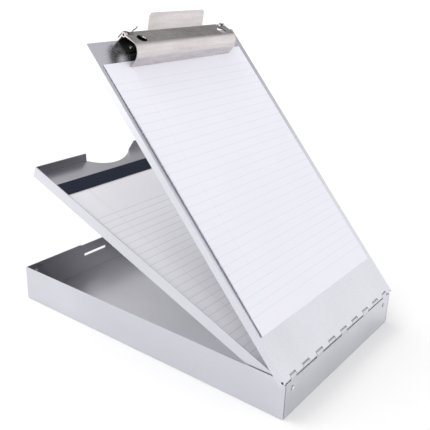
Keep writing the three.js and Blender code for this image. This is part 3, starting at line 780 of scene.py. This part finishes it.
def clip_jaw():
    """The jaw's section cut off at both ends, with room for the coils, rolled eyes and two hanging holes."""
    y, z = PIVOT.y, PIVOT.z
    end = leaf_box("clip_jaw", BOARD)[1].x
    cut = 5 * MM  # how far a cutting tool stands past what it cuts
    jaw = prism(jaw_outline(), -end, end)
    start, stop = COIL_ROOM["start"], COIL_ROOM["end"]
    hole_z = z + (y - HOLE["y"]) * math.tan(BACK_SLOPE)
    steps = []
    for side in (-1, 1):
        steps.append(("DIFFERENCE", tool_rod(COIL_ROOM["radius"], side, start, stop)))
        steps.append(("UNION", tool_rod(EYE + EYE_SKIN, side, stop - OVERLAP, end)))
        steps.append(("DIFFERENCE", tool_rod(BORE, side, stop - cut, end + cut)))
        turn = Matrix.Rotation(-BACK_SLOPE, 4, "X")
        place = Matrix.Translation((side * HOLE["x"], HOLE["y"], hole_z)) @ turn
        steps.append(("DIFFERENCE", cylinder(HOLE["radius"], cut, place)))
    shaped = combine(jaw, *steps)
    bm = bmesh.new()
    bm.from_mesh(shaped.data)
    bpy.data.objects.remove(shaped)
    bmesh.ops.remove_doubles(bm, verts=bm.verts, dist=0.002 * MM)
    piece = piece_from(bm, "jaw_plate", BOARD, STEEL, "jaw", ["clip_jaw"], 180)
    paint_inner_shade(piece)
    round_edges(piece, PRESSED_EDGE, PRESSED_LIMIT)


def paint_inner_shade(piece):
    """Painted shade on the jaw's inner side: its faces that look towards a point in the hollow below it get
    the near-black steel.
    """
    piece.data.materials.append(SHADE_DARK_STEEL)
    hollow, hem = Vector((0, PIVOT.y - 12 * MM, PIVOT.z - 6 * MM)), PIVOT.y - 4 * MM
    back = BOARD.inverted()
    for polygon in piece.data.polygons:
        centre, normal = back @ polygon.center, back.to_3x3() @ polygon.normal
        inward = hollow - centre
        inward.x = 0
        if centre.y < hem and abs(normal.x) < 0.5 and normal.dot(inward) > 0:
            polygon.material_index = 1


def smoothed(points, parts):
    """Points of a Catmull-Rom curve through the given ones."""
    line = []
    for i in range(len(points) - 1):
        p0, p1 = points[max(i - 1, 0)], points[i]
        p2, p3 = points[i + 1], points[min(i + 2, len(points) - 1)]
        square = 2 * p0 - 5 * p1 + 4 * p2 - p3
        cube = 3 * p1 - p0 - 3 * p2 + p3
        for k in range(parts):
            t = k / parts
            line.append(0.5 * (2 * p1 + (p2 - p0) * t + square * t**2 + cube * t**3))
    return line + [points[-1]]


def clip_spring(side_name, side):
    """One torsion spring: a leg behind the base's end, the coil and, on the left, an upturned end."""
    wire, radius = COIL["wire"], COIL["radius"]
    y, z = PIVOT.y, PIVOT.z
    behind = y + EYE + 0.3 * MM + wire / 2
    leg = [(76.3, 7.4), (76.3, 11), (76.3, z / MM - 1.2), (75.3, z / MM), (72.6, z / MM)]  # x and z in mm
    path = [Vector((across * MM, behind, height * MM)) for across, height in leg]
    count = int(COIL["steps"] * (COIL["turns"] + 0.2))
    first, last = COIL["outer"] - wire / 2, COIL["inner"] + wire / 2
    for i in range(3, count + 1):  # the leg's last point stands for the coil's first eighth of a turn
        t = i / COIL["steps"] * 2 * math.pi
        x = first - (first - last) * i / count
        path.append(Vector((x, y + radius * math.cos(t), z + radius * math.sin(t))))
    if side < 0:
        # x, then y and z from the rod, in mm
        upturned = ((65.5, 2.1, 2.9), (64.0, 2.4, 3.3), (62.9, 2.6, 3.9), (62.4, 2.9, 5.0), (61.9, 3.2, 6.3))
        path += [Vector((x * MM, y + dy * MM, z + dz * MM)) for x, dy, dz in upturned]
    for point in path:
        point.x *= side
    bm = bmesh.new()
    sweep(bm, smoothed(path, 3), COIL["swept"])
    node = "clip_spring_" + side_name
    steel = SPRING if side < 0 else RIVET  # the right one is the paler of the two
    piece_from(bm, node + "_look", BOARD, steel, "board", [node])


clip_jaw()
thumb_lever()
clip_spring("left", -1)
clip_spring("right", 1)

# ---------------------------------------------------------------- stage, light and camera


def stage_floor():
    """A plain pale disc just under the object."""
    bm = bmesh.new()
    bmesh.ops.create_circle(bm, cap_ends=True, segments=96, radius=1.05)
    mesh = bpy.data.meshes.new("floor")
    bm.to_mesh(mesh)
    bm.free()
    made = Shader("floor_paint", Roughness=0.9)
    made.shader.inputs["Specular IOR Level"].default_value = 0.0
    made.shader.inputs["Base Color"].default_value = (0.93, 0.93, 0.93, 1)
    mesh.materials.append(made.material)
    floor = bpy.data.objects.new("floor", mesh)
    bpy.context.scene.collection.objects.link(floor)
    floor.location.z = cad_box[0].z - 0.4 * MM


def studio_world():
    """White surroundings, brightest near the horizon, with a dim patch high over +X."""
    world = bpy.data.worlds.new("studio")
    bpy.context.scene.world = world
    world.use_nodes = True
    nodes, links = world.node_tree.nodes, world.node_tree.links
    background = nodes["Background"]
    place = nodes.new("ShaderNodeTexCoord")
    parts = nodes.new("ShaderNodeSeparateXYZ")
    links.new(place.outputs["Generated"], parts.inputs["Vector"])

    def span(source, start, end, low, high):
        made = nodes.new("ShaderNodeMapRange")
        made.interpolation_type = "SMOOTHSTEP"
        for key, value in (("From Min", start), ("From Max", end), ("To Min", low), ("To Max", high)):
            made.inputs[key].default_value = value
        links.new(source, made.inputs["Value"])
        return made.outputs["Result"]

    def calculate(operation, *values):
        made = nodes.new("ShaderNodeMath")
        made.operation = operation
        for socket, value in zip(made.inputs, values):
            if isinstance(value, (int, float)):
                socket.default_value = value
            else:
                links.new(value, socket)
        return made.outputs[0]

    def along(direction):
        made = nodes.new("ShaderNodeVectorMath")
        made.operation = "DOT_PRODUCT"
        links.new(place.outputs["Generated"], made.inputs[0])
        made.inputs[1].default_value = direction
        return made.outputs["Value"]

    # The dim patch is wider than it is high, and its edge is soft.
    azimuth, elevation, flatness = math.radians(75), math.radians(33), 2.0
    core, rim, darkest = math.sin(math.radians(8)), math.sin(math.radians(44)), 0.25
    east, north = math.sin(azimuth), math.cos(azimuth)
    rise, flat = math.sin(elevation), math.cos(elevation)
    ahead = along((east * flat, north * flat, rise))
    across = along((north, -east, 0))
    above = calculate("MULTIPLY", along((-east * rise, -north * rise, flat)), flatness)
    away = calculate("ADD", calculate("MULTIPLY", across, across), calculate("MULTIPLY", above, above))
    away = calculate("ADD", calculate("SQRT", away), calculate("LESS_THAN", ahead, 0.0))
    dim = span(away, core, rim, darkest, 1.0)
    level = calculate("MULTIPLY", span(parts.outputs["Z"], 0.35, 0.90, 1.4, 0.75), dim)
    sides = span(parts.outputs["X"], -0.3, 0.6, 1.12, 0.8)
    links.new(calculate("MULTIPLY", level, sides), background.inputs["Strength"])
    background.inputs["Color"].default_value = (1.0, 1.0, 1.0, 1)


def softbox(name, position, target, size, power):
    """A soft rectangular lamp that faces a point."""
    light = bpy.data.lights.new(name, "AREA")
    light.shape, light.size, light.size_y = "RECTANGLE", size[0], size[1]
    light.energy = power
    lamp = bpy.data.objects.new(name, light)
    bpy.context.scene.collection.objects.link(lamp)
    lamp.location = position
    lamp.rotation_mode = "QUATERNION"
    lamp.rotation_quaternion = (Vector(target) - Vector(position)).to_track_quat("-Z", "Y")


def camera():
    """Looks at the point between board and trays from the front left."""
    azimuth, elevation, roll = (math.radians(a) for a in (53.878, 21.233, 2.128))
    aim, distance = Vector((0, -0.01035, 0.11793)), 0.70865
    level = math.cos(elevation)
    forward = Vector((math.sin(azimuth) * level, math.cos(azimuth) * level, -math.sin(elevation)))
    flat_right = forward.cross(Vector((0, 0, 1))).normalized()
    flat_up = flat_right.cross(forward)
    right = math.cos(roll) * flat_right + math.sin(roll) * flat_up
    up = right.cross(forward)
    data = bpy.data.cameras.new("camera")
    data.sensor_width, data.lens = 36.0, 55.51
    data.clip_start, data.clip_end = 0.02, 50
    made = bpy.data.objects.new("camera", data)
    bpy.context.scene.collection.objects.link(made)
    turn = Matrix((right, up, -forward)).transposed().to_4x4()
    made.matrix_world = Matrix.Translation(aim - forward * distance) @ turn
    bpy.context.scene.camera = made


stage_floor()
studio_world()
softbox("key", (-0.3, 1.0, 1.9), (0, 0, 0.0), (1.4, 1.4), 14)
camera()
bpy.context.scene.view_settings.view_transform = "Standard"
